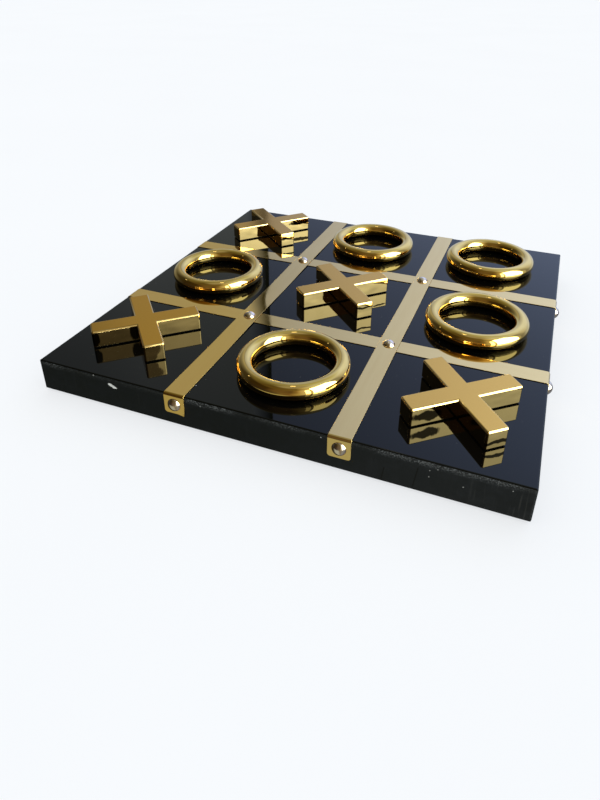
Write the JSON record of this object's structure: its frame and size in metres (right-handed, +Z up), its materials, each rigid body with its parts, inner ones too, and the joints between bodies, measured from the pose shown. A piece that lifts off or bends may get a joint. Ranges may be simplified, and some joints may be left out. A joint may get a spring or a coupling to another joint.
{
  "type": "tic-tac-toe board",
  "caption": "Square tic-tac-toe board: black base, grid of folded metal strips held by dome nails, loose metal crosses and rings that lift off.",
  "frame": {"origin": "middle of the board, on the plane that its feet stand on", "axes": "+X to the right along the front edge, +Y to the back, +Z up"},
  "size_m": [0.3116, 0.3116, 0.0361],
  "materials": {
    "core_paint": "satin black paint on wood",
    "gloss_black": "mirror gloss black",
    "strip_metal": "satin brushed gold",
    "cross_metal": "satin gold top, polished sides",
    "ring_metal": "polished gold",
    "nail_metal": "polished nickel",
    "felt": "black felt"
  },
  "bodies": {
    "board": {"wood_core": "core_paint", "gloss_top": "gloss_black", "strip_left": "strip_metal", "strip_right": "strip_metal", "strip_front": "strip_metal", "strip_back": "strip_metal", "nail_crossing_front_left": "nail_metal", "nail_crossing_front_right": "nail_metal", "nail_crossing_back_left": "nail_metal", "nail_crossing_back_right": "nail_metal", "nail_front_left": "nail_metal", "nail_front_right": "nail_metal", "nail_right_front": "nail_metal", "nail_right_back": "nail_metal", "nail_back_left": "nail_metal", "nail_back_right": "nail_metal", "nail_left_front": "nail_metal", "nail_left_back": "nail_metal", "foot_front_left": "felt", "foot_front_right": "felt", "foot_back_left": "felt", "foot_back_right": "felt"},
    "front_left_cross": {"cross_front_left": "cross_metal", "pad_front_left": "felt"},
    "front_right_cross": {"cross_front_right": "cross_metal", "pad_front_right": "felt"},
    "centre_cross": {"cross_centre": "cross_metal", "pad_centre": "felt"},
    "back_left_cross": {"cross_back_left": "cross_metal", "pad_back_left": "felt"},
    "front_ring": {"ring_front": "ring_metal"},
    "left_ring": {"ring_left": "ring_metal"},
    "right_ring": {"ring_right": "ring_metal"},
    "back_ring": {"ring_back": "ring_metal"},
    "back_right_ring": {"ring_back_right": "ring_metal"}
  },
  "joints": [
    {"name": "front_left_cross_lift", "type": "slide", "parent": "board", "child": "front_left_cross", "axis": [0, 0, 1], "range_m": [0, 0.06]},
    {"name": "front_right_cross_lift", "type": "slide", "parent": "board", "child": "front_right_cross", "axis": [0, 0, 1], "range_m": [0, 0.06]},
    {"name": "centre_cross_lift", "type": "slide", "parent": "board", "child": "centre_cross", "axis": [0, 0, 1], "range_m": [0, 0.06]},
    {"name": "back_left_cross_lift", "type": "slide", "parent": "board", "child": "back_left_cross", "axis": [0, 0, 1], "range_m": [0, 0.06]},
    {"name": "front_ring_lift", "type": "slide", "parent": "board", "child": "front_ring", "axis": [0, 0, 1], "range_m": [0, 0.06]},
    {"name": "left_ring_lift", "type": "slide", "parent": "board", "child": "left_ring", "axis": [0, 0, 1], "range_m": [0, 0.06]},
    {"name": "right_ring_lift", "type": "slide", "parent": "board", "child": "right_ring", "axis": [0, 0, 1], "range_m": [0, 0.06]},
    {"name": "back_ring_lift", "type": "slide", "parent": "board", "child": "back_ring", "axis": [0, 0, 1], "range_m": [0, 0.06]},
    {"name": "back_right_ring_lift", "type": "slide", "parent": "board", "child": "back_right_ring", "axis": [0, 0, 1], "range_m": [0, 0.06]}
  ]
}
